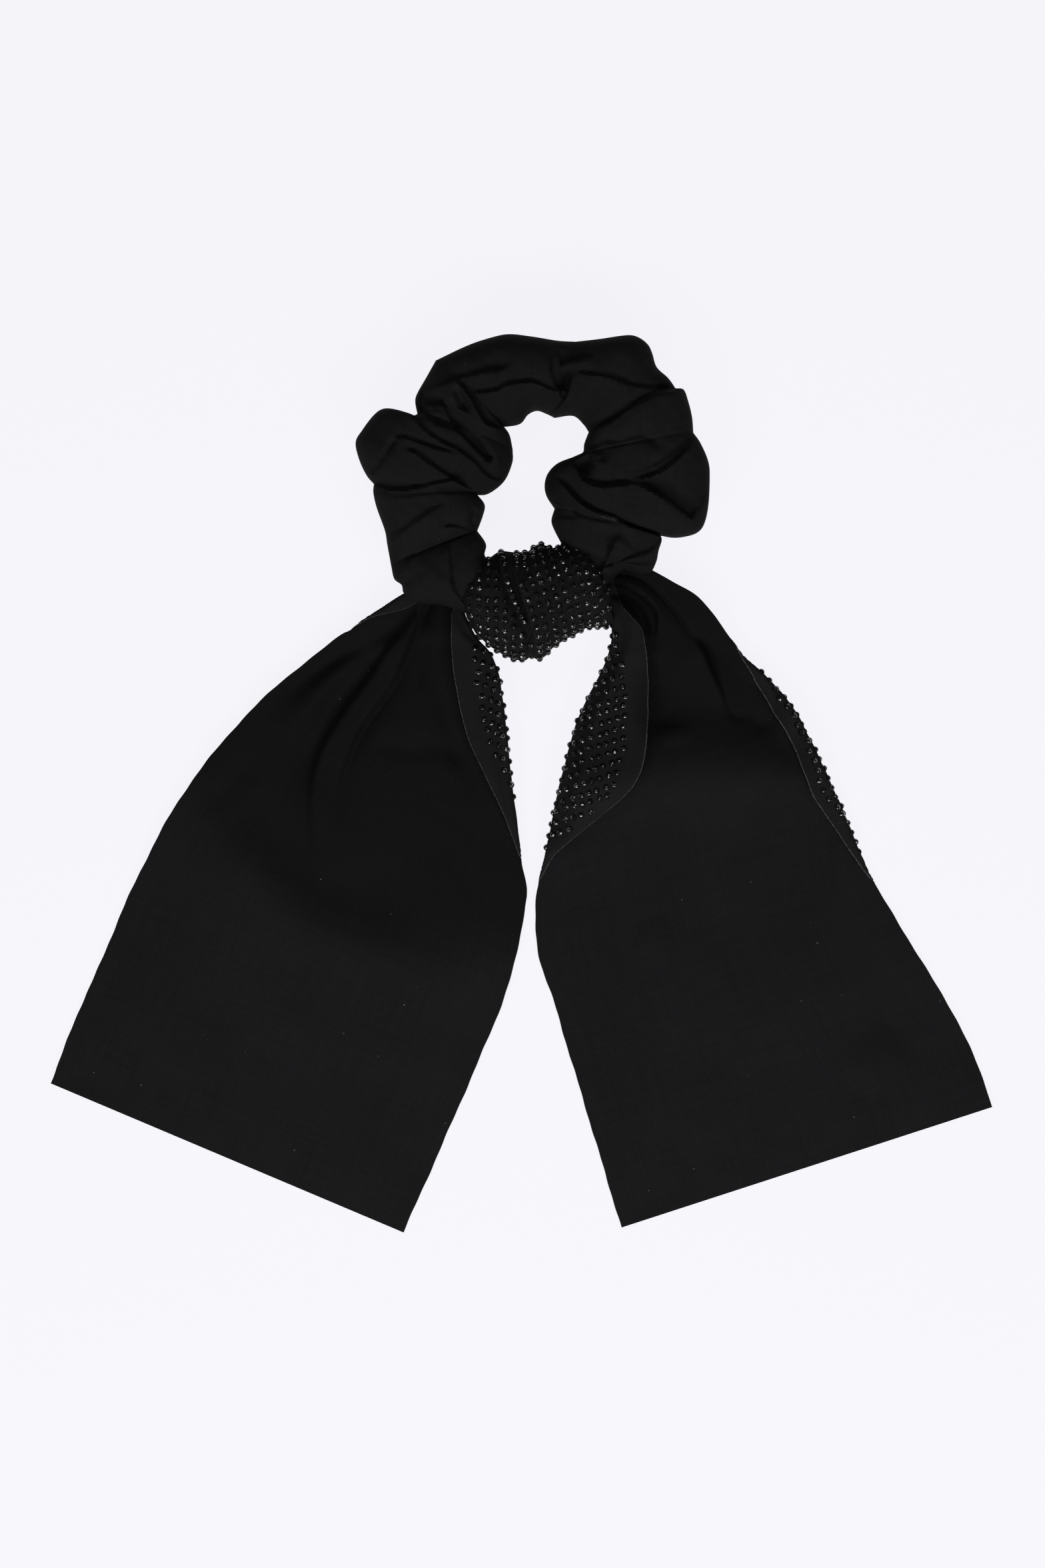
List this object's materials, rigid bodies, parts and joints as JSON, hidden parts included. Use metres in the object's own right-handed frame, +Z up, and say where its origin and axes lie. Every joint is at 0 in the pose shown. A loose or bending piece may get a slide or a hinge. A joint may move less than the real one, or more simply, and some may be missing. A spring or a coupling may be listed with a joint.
{
  "type": "scrunchie",
  "caption": "Gathered cloth hair ring on a hidden elastic, with a crystal-studded scarf wrapped round it and falling as two broad flat tails.",
  "frame": {"origin": "centre of the hair opening on the surface the scrunchie lies on", "axes": "+Z up from that surface, +Y from the scarf wrap to the far side of the ring, +X to the right seen from above"},
  "size_m": [0.2918, 0.2791, 0.0325],
  "materials": {
    "casing_cloth": "matte crepe weave",
    "scarf_cloth": "matte fine weave",
    "crystal": "polished black facets",
    "elastic": "braided",
    "thread": "twisted thread"
  },
  "bodies": {
    "root": {"elastic_band": "elastic", "elastic_join_stitches": "thread", "casing_near_half": "casing_cloth", "casing_closing_stitches": "thread", "scarf_tack_stitches": "thread", "scarf_wrap": "scarf_cloth", "crystals_wrap": "crystal", "scarf_root_left": "scarf_cloth", "scarf_root_right": "scarf_cloth", "scarf_turned_edge_left_inner": "scarf_cloth", "scarf_turned_edge_right_inner": "scarf_cloth", "scarf_turned_edge_right_outer": "scarf_cloth", "crystals_turned_edge_left_inner": "crystal", "crystals_turned_edge_right_inner": "crystal", "crystals_turned_edge_right_outer": "crystal", "crystal_field_left_root": "crystal", "crystal_field_right_root": "crystal"},
    "ring_far": {"casing_far_half": "casing_cloth"},
    "left_upper": {"scarf_tail_left_upper": "scarf_cloth", "crystal_field_left_upper": "crystal"},
    "left_lower": {"scarf_tail_left_lower": "scarf_cloth", "crystal_field_left_lower": "crystal"},
    "right_upper": {"scarf_tail_right_upper": "scarf_cloth", "crystal_field_right_upper": "crystal"},
    "right_lower": {"scarf_tail_right_lower": "scarf_cloth", "crystal_field_right_lower": "crystal"}
  },
  "joints": [
    {"name": "ring_stretch", "type": "slide", "parent": "root", "child": "ring_far", "axis": [0, 1, 0], "range_m": [0, 0.05], "stiffness_N_per_m": 60, "deforming": ["elastic_band"]},
    {"name": "left_tail_lift", "type": "hinge", "parent": "root", "child": "left_upper", "pos_m": [-0.05228, -0.10801, 0.00125], "axis": [-0.9212, 0.3891, 0], "range_deg": [-75, 75]},
    {"name": "left_tail_fold", "type": "hinge", "parent": "left_upper", "child": "left_lower", "pos_m": [-0.07407, -0.1596, 0.00125], "axis": [0.9212, -0.3891, 0], "range_deg": [-90, 90]},
    {"name": "right_tail_lift", "type": "hinge", "parent": "root", "child": "right_upper", "pos_m": [0.05203, -0.10759, 0.00125], "axis": [-0.9511, -0.309, 0], "range_deg": [-75, 75]},
    {"name": "right_tail_fold", "type": "hinge", "parent": "right_upper", "child": "right_lower", "pos_m": [0.06933, -0.16084, 0.00125], "axis": [0.9511, 0.309, 0], "range_deg": [-90, 90]}
  ]
}
